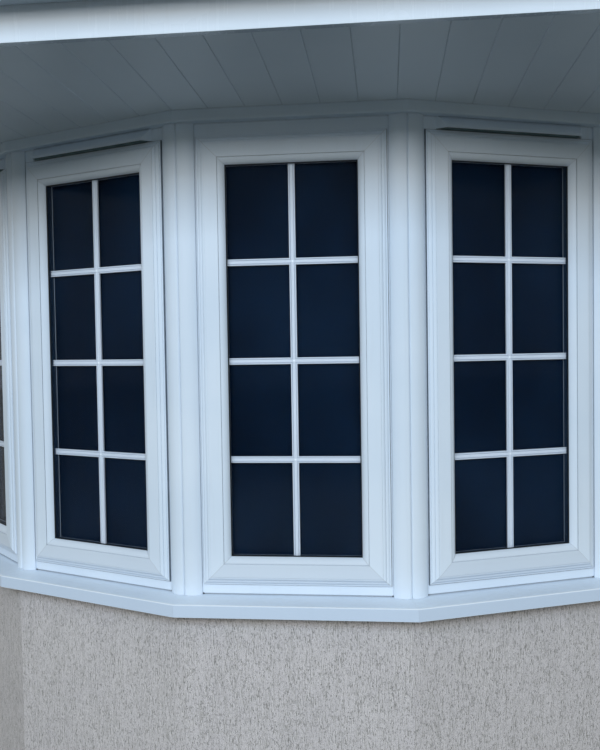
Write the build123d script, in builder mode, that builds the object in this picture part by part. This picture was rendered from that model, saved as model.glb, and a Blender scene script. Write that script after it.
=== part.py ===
from build123d import *

import os
from math import cos, hypot, radians, sin, tan

os.makedirs("parts", exist_ok=True)

# Driving dimensions of the bay in plan, in mm
facet_width = 618.0
corner_angle = 22.5
end_post_reach = 36.5
overhang = 571.0
canopy_side_overhang = 120.0
gutter_width = 112.0

# Driving heights above the ground
wall_top = 794.0
frame_bottom = 829.0
frame_height = 1290.0
plate_thickness = 32.0

# Frame and sash sections
post_half_run = 27.0
frame_depth = 70.0
frame_lip_depth = 20.0
frame_lip_width = 14.0
sash_side_margin = 26.0
sash_foot_margin = 26.5
sash_head_margin = 46.0
sash_overlap = 8.0
sash_proud = 18.0
sash_flat = 36.0
sash_face_width = 76.5
sash_side_gap = 4.0
opening_gap = 3.5
fixed_gap = 0.3
seat_gap = 0.3

# Moulding of the sash face: outer lip, two rounds with steps between, flat, groove, round down to the glass
sculpt_width = 22.0
sculpt_lip_width = 4.0
sculpt_lip_height = 6.0
sculpt_step = 1.5
sculpt_rise = 1.5
slope_rise = 2.5
slope_foot = 2.0
quirk_width = 1.5
quirk_depth = 2.5
quirk_drop = 1.5

# Glazing unit and the bead behind it
glass_depth = 2.0
glass_thickness = 28.0
pane_thickness = 4.0
spacer_width = 12.0
glass_edge_cover = 13.0
glass_edge_gap = 3.0
bead_inset = 2.0
bead_edge = 4.0
bead_land = 1.0

# Wall, cill and board sections
render_proud = 20.0
wall_thickness = 300.0
board_lap = 5.0
cill_back = frame_depth + board_lap
cill_projection = 83.0
cill_nose_height = 34.0
cill_nose_radius = 3.0
cill_lip = 8.0
cill_lip_width = 12.0
cill_step_height = 3.0
cill_step_setback = 5.0
board_thickness = 25.0
board_nosing = 25.0
board_nose_radius = 10.0

# Post covers and head trim
cover_lap = 47.0
cover_edge_proud = 4.0
cover_crown_proud = 15.5
cover_shoulder_proud = 14.0
cover_crease_proud = 8.5
cover_shoulder_run = 3.5
cover_end_bevel = 10.0
trim_height = 31.0
trim_proud = 30.0
trim_radius = 4.0
plate_depth = 90.0

# Canopy
soffit_thickness = 10.0
ceiling_thickness = 12.5
fascia_thickness = 18.0
fascia_drop = 8.0
joist_width = 47.0
joist_front_height = 114.0
joist_back_height = 146.0
joist_count = 7
rear_plate_thickness = 47.0
deck_thickness = 18.0
felt_thickness = 6.0
felt_drip = 12.0
gutter_wall = 3.0
gutter_height = 62.0
gutter_above_fascia_foot = 75.0

# Small fittings
vent_inset = 31.0
vent_height = 33.0
vent_proud = 26.0
vent_splay = 20.0
vent_nose = 6.0
vent_top_proud = 5.0
vent_wall = 3.0
vent_top_wall = 4.0

# Levels and places worked out from the driving values
frame_half_width = facet_width / 2 - post_half_run
sash_half_width = frame_half_width - sash_side_margin
sash_height = frame_height - sash_foot_margin - sash_head_margin
frame_top = frame_bottom + frame_height
soffit_level = frame_top + plate_thickness - soffit_thickness
joist_foot = frame_top + plate_thickness
sash_bottom = frame_bottom + sash_foot_margin
sash_top = sash_bottom + sash_height
end_angle = 2 * radians(corner_angle)
bay_depth = facet_width * (sin(radians(corner_angle)) + sin(end_angle)) + end_post_reach
bay_spread = 1 / 2 + cos(radians(corner_angle)) + cos(end_angle)
bay_half_width = facet_width * bay_spread + end_post_reach / tan(end_angle)
canopy_half_width = bay_half_width + canopy_side_overhang
half_depth = (overhang + gutter_width + bay_depth) / 2
wall_y = half_depth
face_y = wall_y - bay_depth
fascia_y = face_y - overhang
fascia_foot = soffit_level - fascia_drop
fascia_back = fascia_y + fascia_thickness
inside_half = canopy_half_width - fascia_thickness
deck_foot_front = joist_foot + joist_front_height
deck_foot_back = joist_foot + joist_back_height
trim_foot = soffit_level - trim_height
facet_names = ["far_left", "left", "centre", "right", "far_right"]
middle = 2


def heading(index):
    """Angle of a facet from the centre facet, in degrees."""
    return (index - middle) * corner_angle


def along(angle):
    """Unit vector along a facet, to the right as seen from outside."""
    return Vector(cos(radians(angle)), sin(radians(angle)), 0)


def facet_middle(index):
    """Middle of a facet on the frame face line, found by walking out from the centre facet."""
    place = Vector(0, face_y, 0)
    side = 1 if index > middle else -1
    for step in range(abs(index - middle)):
        here = middle + side * step
        place += along(heading(here)) * (side * facet_width / 2)
        place += along(heading(here + side)) * (side * facet_width / 2)
    return place


def face_plane(index, depth=0.0):
    """Plane of a facet: x along it, y up and z outwards, moved inwards by depth."""
    tangent = along(heading(index))
    outward = Vector(tangent.Y, -tangent.X, 0)
    return Plane(origin=facet_middle(index) - outward * depth, x_dir=tangent, z_dir=outward)


def section_plane(index):
    """Plane across a facet at its middle: x inwards, y up."""
    tangent = along(heading(index))
    return Plane(origin=facet_middle(index), x_dir=Vector(-tangent.Y, tangent.X, 0), z_dir=tangent)


def mitre_plane(corner):
    """Plane halfway between a facet and the next one, facing right; the outer ones are the house wall."""
    if corner < 0 or corner > 3:
        return Plane(origin=(0, wall_y, 0), x_dir=(1, 0, 0), z_dir=(0, 1, 0))
    place = facet_middle(corner) + along(heading(corner)) * (facet_width / 2)
    bisector = along(heading(corner) + corner_angle / 2)
    return Plane(origin=place, x_dir=Vector(-bisector.Y, bisector.X, 0), z_dir=bisector)


def cut_to_facet(index):
    """Cut the part being built to one facet, at its two mitres or at the house wall."""
    split(bisect_by=mitre_plane(index), keep=Keep.BOTTOM)
    split(bisect_by=mitre_plane(index - 1), keep=Keep.BOTTOM if index == 0 else Keep.TOP)


def plan_point(index, run, depth):
    """Plan point on a facet, run from its middle and depth behind the frame face."""
    return face_plane(index, depth).from_local_coords(Vector(run, 0, 0))


def corner_point(corner, depth):
    """Plan point on the mitre between a facet and the next one."""
    run = facet_width / 2 - depth * tan(radians(corner_angle / 2))
    return plan_point(corner, run, depth)


def wall_point(side, depth):
    """Plan point where the end facet's line at this depth meets the house wall."""
    index = 4 if side > 0 else 0
    start = plan_point(index, 0, depth)
    tangent = along(heading(index)) * side
    return start + tangent * ((wall_y - start.Y) / tangent.Y)


def bay_outline(depth):
    """Plan points of the bay at one depth, from the house wall on the left round to the right."""
    corners = [corner_point(corner, depth) for corner in range(4)]
    return [wall_point(-1, depth)] + corners + [wall_point(1, depth)]


def plan_strip(outer_depth, inner_depth):
    """Closed plan points of a strip that follows the bay."""
    return bay_outline(outer_depth) + bay_outline(inner_depth)[::-1]


def bay_edges(part, depth, level):
    """Edges that run along the bay's facets at one depth and height."""
    found = []
    for edge in part.edges():
        places = [face_plane(index, depth).to_local_coords(edge.center()) for index in range(5)]
        if any(abs(place.Z) < 0.01 and abs(place.X) < facet_width / 2 for place in places):
            if abs(edge.center().Z - level) < 0.01 and edge.length > facet_width / 2:
                found.append(edge)
    return found


# Rendered dwarf wall: five mitred lengths with a step under the cill
for index, side in enumerate(facet_names):
    with BuildPart() as wall:
        with BuildSketch(section_plane(index)):
            with BuildLine():
                inner = wall_thickness - render_proud
                Polyline(
                    (-render_proud, 0), (inner, 0), (inner, frame_bottom), (cill_back, frame_bottom),
                    (cill_back, wall_top), (-render_proud, wall_top), close=True,
                )
            make_face()
        extrude(amount=facet_width, both=True)
        cut_to_facet(index)
    wall.part.label = f"wall_{side}"
    export_step(wall.part, f"parts/{wall.part.label}.step")

# Window cill: five mitred lengths with a step under the frames, a sloped top, a square nose and a drip lip
cills = []
for index, side in enumerate(facet_names):
    with BuildPart() as cill:
        with BuildSketch(section_plane(index)):
            with BuildLine():
                nose_foot = wall_top - cill_lip
                nose_top = nose_foot + cill_nose_height
                lip_back = cill_lip_width - cill_projection
                back = cill_back - seat_gap
                step_foot = frame_bottom - cill_step_height
                Polyline(
                    (-cill_projection, nose_foot), (lip_back, nose_foot), (lip_back, wall_top),
                    (back, wall_top), (back, frame_bottom), (cill_step_setback, frame_bottom),
                    (cill_step_setback, step_foot), (-cill_projection, nose_top), close=True,
                )
            make_face()
        extrude(amount=facet_width, both=True)
        cut_to_facet(index)
        fillet(bay_edges(cill, -cill_projection, nose_top), radius=cill_nose_radius)
    cill.part.label = f"cill_{side}"
    export_step(cill.part, f"parts/{cill.part.label}.step")
    cills.append(cill.part)

# Outer frames: a flat ring with a deeper lip on its room side
opening_half = sash_half_width - sash_overlap
opening_bottom = sash_bottom + sash_overlap
opening_top = sash_top - sash_overlap
opening_centre = (opening_bottom + opening_top) / 2
opening_height = opening_top - opening_bottom
for index, side in enumerate(facet_names):
    with BuildPart() as frame:
        with BuildSketch(face_plane(index, frame_depth)):
            with Locations((0, frame_bottom + frame_height / 2)):
                Rectangle(2 * frame_half_width, frame_height)
        extrude(amount=frame_depth)
        with BuildSketch(face_plane(index, frame_depth - frame_lip_depth)):
            with Locations((0, opening_centre)):
                Rectangle(2 * opening_half, opening_height)
        extrude(amount=frame_depth, mode=Mode.SUBTRACT)
        with BuildSketch(face_plane(index, frame_depth)):
            with Locations((0, opening_centre)):
                Rectangle(2 * (opening_half - frame_lip_width), opening_height - 2 * frame_lip_width)
        extrude(amount=frame_lip_depth, mode=Mode.SUBTRACT)
    frame.part.label = f"frame_{side}"
    export_step(frame.part, f"parts/{frame.part.label}.step")

# Sashes: one moulded section swept round the light with mitred corners
for index, side in enumerate(facet_names):
    gap = fixed_gap if index == middle else opening_gap
    face = face_plane(index)
    body_back = frame_depth - frame_lip_depth - seat_gap
    rebate = sash_face_width - glass_edge_cover - glass_edge_gap
    glass_back = glass_depth + glass_thickness + seat_gap
    slope_start = sculpt_width + sash_flat
    body_side = sash_overlap + sash_side_gap
    bead_face = sash_face_width - bead_inset
    with BuildPart() as sash:
        with BuildLine(face) as path:
            Polyline(
                (-sash_half_width, sash_bottom), (sash_half_width, sash_bottom),
                (sash_half_width, sash_top), (-sash_half_width, sash_top), close=True,
            )
        start = face.from_local_coords(Vector(0, sash_bottom, 0))
        across = Plane(origin=start, x_dir=(0, 0, 1), z_dir=along(heading(index)))
        with BuildSketch(across):
            with BuildLine():
                round_foot = (sculpt_lip_width, sculpt_lip_height + sculpt_step)
                round_top = (sculpt_width, sash_proud - sculpt_step)
                waist = (sculpt_lip_width + sculpt_width) / 2
                waist_height = (sculpt_lip_height + sash_proud) / 2
                waist_foot = (waist, waist_height - sculpt_step / 2)
                waist_top = (waist, waist_height + sculpt_step / 2)
                quirk_end = (slope_start + quirk_width, sash_proud - quirk_drop)
                Polyline(
                    round_foot, (sculpt_lip_width, sculpt_lip_height), (0, sculpt_lip_height), (0, gap),
                    (body_side, gap), (body_side, -body_back), (rebate + bead_land, -body_back),
                    (bead_face, -glass_back - bead_edge), (bead_face, -glass_back), (rebate, -glass_back),
                    (rebate, -glass_depth), (sash_face_width, -glass_depth), (sash_face_width, slope_foot),
                )
                SagittaArc((sash_face_width, slope_foot), quirk_end, -slope_rise)
                Polyline(
                    quirk_end, (slope_start + quirk_width, sash_proud - quirk_depth),
                    (slope_start, sash_proud - quirk_depth), (slope_start, sash_proud),
                    (sculpt_width, sash_proud), round_top,
                )
                SagittaArc(round_top, waist_top, -sculpt_rise)
                Line(waist_top, waist_foot)
                SagittaArc(waist_foot, round_foot, -sculpt_rise)
            make_face()
        sweep(path=path.wires()[0], transition=Transition.RIGHT)
    sash.part.label = f"sash_{side}"
    export_step(sash.part, f"parts/{sash.part.label}.step")

# Sealed glazing units in the sash rebates: an outer and an inner pane to each
unit_edge = sash_face_width - glass_edge_cover
unit_width = 2 * (sash_half_width - unit_edge)
unit_height = sash_height - 2 * unit_edge
unit_centre = (sash_bottom + sash_top) / 2
unit_back = glass_depth + glass_thickness
for index, side in enumerate(facet_names):
    with BuildPart() as unit:
        for pane_back in (glass_depth + pane_thickness, unit_back):
            with BuildSketch(face_plane(index, pane_back)):
                with Locations((0, unit_centre)):
                    Rectangle(unit_width, unit_height)
            extrude(amount=pane_thickness)
    unit.part.label = f"glazing_{side}"
    export_step(unit.part, f"parts/{unit.part.label}.step")

# Spacer bars with their edge seal, one ring between each pair of panes
with BuildPart() as spacers:
    for index in range(5):
        with BuildSketch(face_plane(index, unit_back - pane_thickness)):
            with Locations((0, unit_centre)):
                Rectangle(unit_width, unit_height)
                Rectangle(unit_width - 2 * spacer_width, unit_height - 2 * spacer_width, mode=Mode.SUBTRACT)
        extrude(amount=glass_thickness - 2 * pane_thickness)
spacers.part.label = "glazing_spacers"
export_step(spacers.part, f"parts/{spacers.part.label}.step")

# Corner posts between neighbouring frames
for corner in range(4):
    with BuildPart() as post:
        with BuildSketch(Plane.XY.offset(frame_bottom)):
            with BuildLine():
                Polyline(
                    plan_point(corner, frame_half_width, 0), corner_point(corner, 0),
                    plan_point(corner + 1, -frame_half_width, 0),
                    plan_point(corner + 1, -frame_half_width, frame_depth),
                    corner_point(corner, frame_depth),
                    plan_point(corner, frame_half_width, frame_depth), close=True,
                )
            make_face()
        extrude(amount=frame_height)
    post.part.label = f"corner_post_{corner + 1}"
    export_step(post.part, f"parts/{post.part.label}.step")

# End posts between the last frames and the house wall
with BuildPart() as end_posts:
    with BuildSketch(Plane.XY.offset(frame_bottom)):
        for side, index in ((-1, 0), (1, 4)):
            with BuildLine():
                Polyline(
                    plan_point(index, side * frame_half_width, 0), wall_point(side, 0),
                    wall_point(side, frame_depth),
                    plan_point(index, side * frame_half_width, frame_depth), close=True,
                )
            make_face()
    extrude(amount=frame_height)
end_posts.part.label = "end_posts"
export_step(end_posts.part, f"parts/{end_posts.part.label}.step")

# Post covers: two rounded wings that turn in at their shoulders to meet in a crease, scribed to the cill
with BuildPart() as covers:
    lap_run = facet_width / 2 - cover_lap
    crown_run = facet_width / 2 - cover_lap / 2
    shoulder_run = facet_width / 2 - cover_shoulder_run
    with BuildSketch(Plane.XY.offset(wall_top)):
        for corner in range(4):
            with BuildLine():
                for index, side in ((corner, 1), (corner + 1, -1)):
                    edge = plan_point(index, side * lap_run, -cover_edge_proud)
                    crown = plan_point(index, side * crown_run, -cover_crown_proud)
                    shoulder = plan_point(index, side * shoulder_run, -cover_shoulder_proud)
                    wing = ThreePointArc(edge, crown, shoulder)
                    TangentArc(shoulder, corner_point(corner, -cover_crease_proud), tangent=wing % 1)
                    Polyline(edge, plan_point(index, side * lap_run, 0), corner_point(corner, 0))
            make_face()
        for side, index in ((-1, 0), (1, 4)):
            with BuildLine():
                Polyline(
                    plan_point(index, side * lap_run, 0),
                    plan_point(index, side * lap_run, -cover_edge_proud),
                    plan_point(index, side * (lap_run + cover_end_bevel), -cover_crease_proud),
                    wall_point(side, -cover_crease_proud), wall_point(side, 0), close=True,
                )
            make_face()
    extrude(amount=trim_foot - wall_top)
    for cill_part in cills:
        add(cill_part, mode=Mode.SUBTRACT)
covers.part.label = "post_covers"
export_step(covers.part, f"parts/{covers.part.label}.step")

# Trickle vent hoods on the opening lights: hollow wedges that die into the frame head, with splayed ends
with BuildPart() as vents:
    vent_half = sash_half_width - vent_inset
    vent_foot = trim_foot - vent_height - seat_gap
    nose_top = vent_foot + vent_nose
    vent_top = vent_foot + vent_height
    pocket_top = nose_top - vent_wall / 2
    inner_face = vent_proud - vent_wall
    inner_half = vent_half - vent_wall * hypot(1, vent_splay / vent_proud)
    pocket_half = inner_half - vent_splay * inner_face / vent_proud
    for index in (0, 1, 3, 4):
        with BuildSketch(Plane.XY.offset(vent_foot)):
            with BuildLine():
                Polyline(
                    plan_point(index, -vent_half, 0),
                    plan_point(index, vent_splay - vent_half, -vent_proud),
                    plan_point(index, vent_half - vent_splay, -vent_proud),
                    plan_point(index, vent_half, 0), close=True,
                )
            make_face()
        extrude(amount=vent_height)
        with BuildSketch(section_plane(index)):
            with BuildLine():
                Polyline(
                    (-vent_proud, nose_top), (-2 * vent_proud, nose_top), (-2 * vent_proud, vent_top),
                    (-vent_top_proud, vent_top), close=True,
                )
            make_face()
        extrude(amount=vent_half, both=True, mode=Mode.SUBTRACT)
        with BuildSketch(Plane.XY.offset(vent_foot)):
            with BuildLine():
                Polyline(
                    plan_point(index, -inner_half, 0),
                    plan_point(index, -pocket_half, -inner_face),
                    plan_point(index, pocket_half, -inner_face),
                    plan_point(index, inner_half, 0), close=True,
                )
            make_face()
        extrude(amount=pocket_top - vent_foot, mode=Mode.SUBTRACT)
        with BuildSketch(section_plane(index)):
            with BuildLine():
                Polyline(
                    (0, pocket_top), (-inner_face, pocket_top),
                    (vent_wall - vent_top_proud, vent_top - vent_top_wall),
                    (0, vent_top - vent_top_wall), close=True,
                )
            make_face()
        extrude(amount=pocket_half, both=True, mode=Mode.SUBTRACT)
vents.part.label = "vent_hoods"
export_step(vents.part, f"parts/{vents.part.label}.step")

# Head trim under the soffit, one mitred length to each facet joined into a bend
with BuildPart() as head_trim:
    with BuildSketch(Plane.XY.offset(trim_foot)):
        with BuildLine():
            Polyline(*plan_strip(-trim_proud, 0), close=True)
        make_face()
    extrude(amount=trim_height)
    fillet(bay_edges(head_trim, -trim_proud, trim_foot), radius=trim_radius)
head_trim.part.label = "head_trim"
export_step(head_trim.part, f"parts/{head_trim.part.label}.step")

# Head plate on the frames and posts, carrying the joists
with BuildPart() as head_plate:
    with BuildSketch(Plane.XY.offset(frame_top)):
        with BuildLine():
            Polyline(*plan_strip(0, plate_depth), close=True)
        make_face()
    extrude(amount=plate_thickness)
head_plate.part.label = "head_plate"
export_step(head_plate.part, f"parts/{head_plate.part.label}.step")

# Window board inside, from the frames to a rounded nosing past the inner wall face
with BuildPart() as board:
    nosing_depth = wall_thickness - render_proud + board_nosing
    with BuildSketch(Plane.XY.offset(frame_bottom)):
        with BuildLine():
            Polyline(*plan_strip(frame_depth, nosing_depth), close=True)
        make_face()
    extrude(amount=board_thickness)
    fillet(bay_edges(board, nosing_depth, frame_bottom + board_thickness), radius=board_nose_radius)
board.part.label = "window_board"
export_step(board.part, f"parts/{board.part.label}.step")

# Ceiling board inside the head plate
with BuildPart() as ceiling:
    with BuildSketch(Plane.XY.offset(joist_foot - ceiling_thickness)):
        with BuildLine():
            Polyline(*bay_outline(plate_depth), close=True)
        make_face()
    extrude(amount=ceiling_thickness)
ceiling.part.label = "ceiling"
export_step(ceiling.part, f"parts/{ceiling.part.label}.step")

# Soffit under the overhang, round the head plate
with BuildPart() as soffit:
    with BuildSketch(Plane.XY.offset(soffit_level)):
        with Locations((0, (fascia_back + wall_y) / 2)):
            Rectangle(2 * inside_half, wall_y - fascia_back)
        with BuildLine():
            Polyline(*bay_outline(0), close=True)
        make_face(mode=Mode.SUBTRACT)
    extrude(amount=soffit_thickness)
soffit.part.label = "soffit"
export_step(soffit.part, f"parts/{soffit.part.label}.step")

# Joists from the house wall to the fascia, tapered for the fall
roof_slope = (joist_back_height - joist_front_height) / (wall_y - fascia_back)
rear_y = wall_y - rear_plate_thickness
with BuildPart() as joists:
    pitch = 2 * (inside_half - joist_width / 2) / (joist_count - 1)
    for number in range(joist_count):
        place = joist_width / 2 - inside_half + number * pitch
        with BuildSketch(Plane.YZ.offset(place)):
            with BuildLine():
                Polyline(
                    (fascia_back, joist_foot), (rear_y, joist_foot),
                    (rear_y, deck_foot_back - roof_slope * rear_plate_thickness),
                    (fascia_back, deck_foot_front), close=True,
                )
            make_face()
        extrude(amount=joist_width / 2, both=True)
joists.part.label = "roof_joists"
export_step(joists.part, f"parts/{joists.part.label}.step")

# Rear plate along the house wall
with BuildPart() as rear_plate:
    with BuildSketch(Plane.YZ):
        with BuildLine():
            Polyline(
                (rear_y, joist_foot), (wall_y, joist_foot), (wall_y, deck_foot_back),
                (rear_y, deck_foot_back - roof_slope * rear_plate_thickness), close=True,
            )
        make_face()
    extrude(amount=inside_half, both=True)
rear_plate.part.label = "rear_plate"
export_step(rear_plate.part, f"parts/{rear_plate.part.label}.step")

# Roof deck on the joists
with BuildPart() as deck:
    with BuildSketch(Plane.YZ):
        with BuildLine():
            Polyline(
                (fascia_back, deck_foot_front), (wall_y, deck_foot_back),
                (wall_y, deck_foot_back + deck_thickness), (fascia_back, deck_foot_front + deck_thickness),
                close=True,
            )
        make_face()
    extrude(amount=inside_half, both=True)
deck.part.label = "roof_deck"
export_step(deck.part, f"parts/{deck.part.label}.step")

# Front fascia
fascia_top = deck_foot_front + deck_thickness
with BuildPart() as fascia:
    with BuildSketch(Plane.YZ):
        with BuildLine():
            Polyline(
                (fascia_y, fascia_foot), (fascia_back, fascia_foot), (fascia_back, fascia_top),
                (fascia_y, fascia_top), close=True,
            )
        make_face()
    extrude(amount=canopy_half_width, both=True)
fascia.part.label = "fascia_front"
export_step(fascia.part, f"parts/{fascia.part.label}.step")

# Side fascias, cut to the fall of the roof
for side, turn in (("left", -1), ("right", 1)):
    with BuildPart() as side_fascia:
        with BuildSketch(Plane.YZ.offset(turn * (inside_half + fascia_thickness / 2))):
            with BuildLine():
                Polyline(
                    (fascia_back, fascia_foot), (wall_y, fascia_foot),
                    (wall_y, deck_foot_back + deck_thickness), (fascia_back, fascia_top), close=True,
                )
            make_face()
        extrude(amount=fascia_thickness / 2, both=True)
    side_fascia.part.label = f"fascia_{side}"
    export_step(side_fascia.part, f"parts/{side_fascia.part.label}.step")

# Felt roof covering with a drip turned down over the front fascia
with BuildPart() as felt:
    with BuildSketch(Plane.YZ):
        with BuildLine():
            Polyline(
                (fascia_y, fascia_top), (fascia_back, fascia_top),
                (wall_y, deck_foot_back + deck_thickness),
                (wall_y, deck_foot_back + deck_thickness + felt_thickness),
                (fascia_back, fascia_top + felt_thickness),
                (fascia_y - felt_thickness, fascia_top + felt_thickness),
                (fascia_y - felt_thickness, fascia_top - felt_drip),
                (fascia_y, fascia_top - felt_drip), close=True,
            )
        make_face()
    extrude(amount=canopy_half_width, both=True)
felt.part.label = "roof_felt"
export_step(felt.part, f"parts/{felt.part.label}.step")

# Gutter on the fascia: a square channel with closed ends
with BuildPart() as gutter:
    foot = fascia_foot + gutter_above_fascia_foot
    front = fascia_y - gutter_width
    with BuildSketch(Plane.YZ):
        with Locations(((front + fascia_y) / 2, foot + gutter_height / 2)):
            Rectangle(gutter_width, gutter_height)
    extrude(amount=canopy_half_width, both=True)
    with BuildSketch(Plane.YZ):
        with Locations(((front + fascia_y) / 2, foot + gutter_wall + gutter_height / 2)):
            Rectangle(gutter_width - 2 * gutter_wall, gutter_height)
    extrude(amount=canopy_half_width - gutter_wall, both=True, mode=Mode.SUBTRACT)
gutter.part.label = "gutter"
export_step(gutter.part, f"parts/{gutter.part.label}.step")
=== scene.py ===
import math

import bmesh
import bpy
import numpy as np
from mathutils import Matrix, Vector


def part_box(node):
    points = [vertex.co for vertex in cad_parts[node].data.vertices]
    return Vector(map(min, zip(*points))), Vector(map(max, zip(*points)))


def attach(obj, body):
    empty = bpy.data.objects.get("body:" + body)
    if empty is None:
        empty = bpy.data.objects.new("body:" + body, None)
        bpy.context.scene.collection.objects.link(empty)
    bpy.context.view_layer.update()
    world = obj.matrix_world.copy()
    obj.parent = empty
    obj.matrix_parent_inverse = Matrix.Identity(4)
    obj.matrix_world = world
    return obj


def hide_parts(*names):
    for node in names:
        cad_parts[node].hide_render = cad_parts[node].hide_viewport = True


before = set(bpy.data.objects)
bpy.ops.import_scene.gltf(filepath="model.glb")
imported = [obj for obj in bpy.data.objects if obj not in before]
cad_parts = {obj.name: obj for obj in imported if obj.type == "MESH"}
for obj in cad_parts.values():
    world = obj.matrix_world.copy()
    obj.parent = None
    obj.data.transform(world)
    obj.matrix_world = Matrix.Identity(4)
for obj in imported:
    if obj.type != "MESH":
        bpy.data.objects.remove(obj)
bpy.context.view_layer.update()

# The dwarf wall under the bay: five mitred lengths of cavity masonry, rendered outside with a
# cement coat floated to a bark texture, whose pits are drawn out downwards, and plastered inside.
facet_names = ("far_left", "left", "centre", "right", "far_right")
facet_width = 0.618
corner_turn = math.radians(22.5)
facet_headings = corner_turn * np.arange(-2, 3)
facet_tangents = np.stack([np.cos(facet_headings), np.sin(facet_headings), np.zeros(5)], axis=1)
facet_inwards = np.stack([-np.sin(facet_headings), np.cos(facet_headings), np.zeros(5)], axis=1)
facet_steps = facet_width / 2 * (facet_tangents[:-1] + facet_tangents[1:])
facet_middles = np.vstack([np.zeros(3), np.cumsum(facet_steps, axis=0)])
facet_middles += np.array([0.0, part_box("frame_centre")[0].y, 0.0]) - facet_middles[2]
cill_lip = 0.008
wall_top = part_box("cill_centre")[0].z + cill_lip


def shade(red, green, blue):
    """A colour as a screen shows it, 0 to 255, as the share of light it reflects: a power law with a straight foot."""
    screen = np.array([red, green, blue]) / 255
    light = np.where(screen <= 0.04045, screen / 12.92, ((screen + 0.055) / 1.055) ** 2.4)
    return (*light.tolist(), 1.0)


class Term:
    """A shader value that arithmetic works on: every operator adds one Math node to its tree."""

    def __init__(self, nodes, socket):
        self.nodes, self.socket = nodes, socket

    def math(self, operation, *inputs):
        return self.nodes.node("ShaderNodeMath", {"operation": operation}, inputs=inputs)

    def __add__(self, other):
        return self.math("ADD", self, other)

    def __radd__(self, other):
        return self.math("ADD", other, self)

    def __sub__(self, other):
        return self.math("SUBTRACT", self, other)

    def __rsub__(self, other):
        return self.math("SUBTRACT", other, self)

    def __mul__(self, other):
        return self.math("MULTIPLY", self, other)

    def __rmul__(self, other):
        return self.math("MULTIPLY", other, self)

    def __mod__(self, other):
        return self.math("FLOORED_MODULO", self, other)

    def __abs__(self):
        return self.math("ABSOLUTE", self)

    def least(self, other):
        return self.math("MINIMUM", self, other)

    def most(self, other):
        return self.math("MAXIMUM", self, other)


class Nodes:
    """The node tree of a material or of the surround, and the one way in which a node is added to it."""

    def __init__(self, owner):
        owner.use_nodes = True
        self.tree = owner.node_tree
        self.tree.nodes.clear()

    def fill(self, node, inputs, named):
        """Sets or links a node's sockets, taken in their order or by their names with _ for a space."""
        shown = [socket for socket in node.inputs if socket.enabled]
        pairs = list(zip(shown, inputs))
        for name, value in named.items():
            pairs.append((next(socket for socket in shown if socket.name == name.replace("_", " ")), value))
        for socket, value in pairs:
            if isinstance(value, Term):
                self.tree.links.new(value.socket, socket)
            else:
                socket.default_value = value

    def node(self, kind, settings=(), output=0, inputs=(), **named):
        """Adds a node: its settings first, a ramp's stops among them, then its sockets; gives back one output by
        its name or number, or all of them where output is None."""
        made = self.tree.nodes.new(kind)
        for setting, value in dict(settings).items():
            if setting == "stops":
                ramp = made.color_ramp.elements
                for element, stop in zip(ramp, (value[0], value[-1])):
                    element.position, element.color = stop
                for position, colour in value[1:-1]:
                    ramp.new(position).color = colour
            else:
                setattr(made, setting, value)
        self.fill(made, inputs, named)
        if isinstance(output, str):
            return Term(self, made.outputs[output])
        shown = [Term(self, socket) for socket in made.outputs if socket.enabled]
        return shown if output is None else shown[output]


class Finish(Nodes):
    """One surface finish: a Principled shader with its steady values set on it, and nodes for what varies."""

    def __init__(self, name, **steady):
        self.material = bpy.data.materials.new(name)
        super().__init__(self.material)
        self.shader = self.tree.nodes.new("ShaderNodeBsdfPrincipled")
        self.node("ShaderNodeOutputMaterial", output=None, Surface=Term(self, self.shader.outputs[0]))
        self.lay(**steady)
        self.place = self.node("ShaderNodeTexCoord", output="Object")

    def lay(self, **values):
        """Sets or links the shader's own sockets."""
        self.fill(self.shader, (), values)
        return self

    def on_facet(self, index):
        """A facet's own coordinates: run along it, depth behind the frame face, and height, by moving and turning."""
        middle = facet_middles[index].tolist()
        turn = (0.0, 0.0, float(facet_headings[index]))
        return self.node("ShaderNodeMapping", {"vector_type": "TEXTURE"}, inputs=(self.place, middle, turn))

    def parts(self, vector):
        """The three numbers of a vector."""
        return self.node("ShaderNodeSeparateXYZ", output=None, inputs=(vector,))

    def scaled(self, vector, sizes):
        """A vector multiplied number by number, which stretches the pattern that is read with it."""
        return self.node("ShaderNodeVectorMath", {"operation": "MULTIPLY"}, inputs=(vector, sizes))

    def noise(self, vector, scale, detail=3.0, roughness=0.5):
        """Cloudy noise from 0 to 1 with so many lumps to the metre."""
        return self.node("ShaderNodeTexNoise", Vector=vector, Scale=scale, Detail=detail, Roughness=roughness)

    def step(self, value, low, high):
        """0 below low and 1 above high, with a smooth rise between them; a low above high turns it round."""
        return self.node("ShaderNodeMapRange", {"interpolation_type": "SMOOTHSTEP"}, inputs=(value, low, high))

    def blend(self, share, one, other):
        """One colour passing into another by a share from 0 to 1."""
        return self.node("ShaderNodeMix", {"data_type": "RGBA"}, Factor=share, A=one, B=other)

    def bump(self, height, distance, strength=1.0, **normal):
        """A normal leaned by a height from 0 to 1 that stands for so many metres."""
        return self.node("ShaderNodeBump", Height=height, Distance=distance, Strength=strength, **normal)

    def edge(self, radius):
        """The normal of softly rounded edges, and how far it leans from the flat face, from 0 to 1."""
        rounded = self.node("ShaderNodeBevel", {"samples": 4}, Radius=radius)
        flat = self.node("ShaderNodeNewGeometry", output="True Normal")
        along = self.node("ShaderNodeVectorMath", {"operation": "DOT_PRODUCT"}, output="Value", inputs=(rounded, flat))
        return rounded, self.step(along, 0.995, 0.8)


def dress(node, finish):
    """Gives a CAD node a finish, and leaves its shape and place alone."""
    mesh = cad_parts[node].data
    mesh.materials.clear()
    mesh.materials.append(finish.material)


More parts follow.
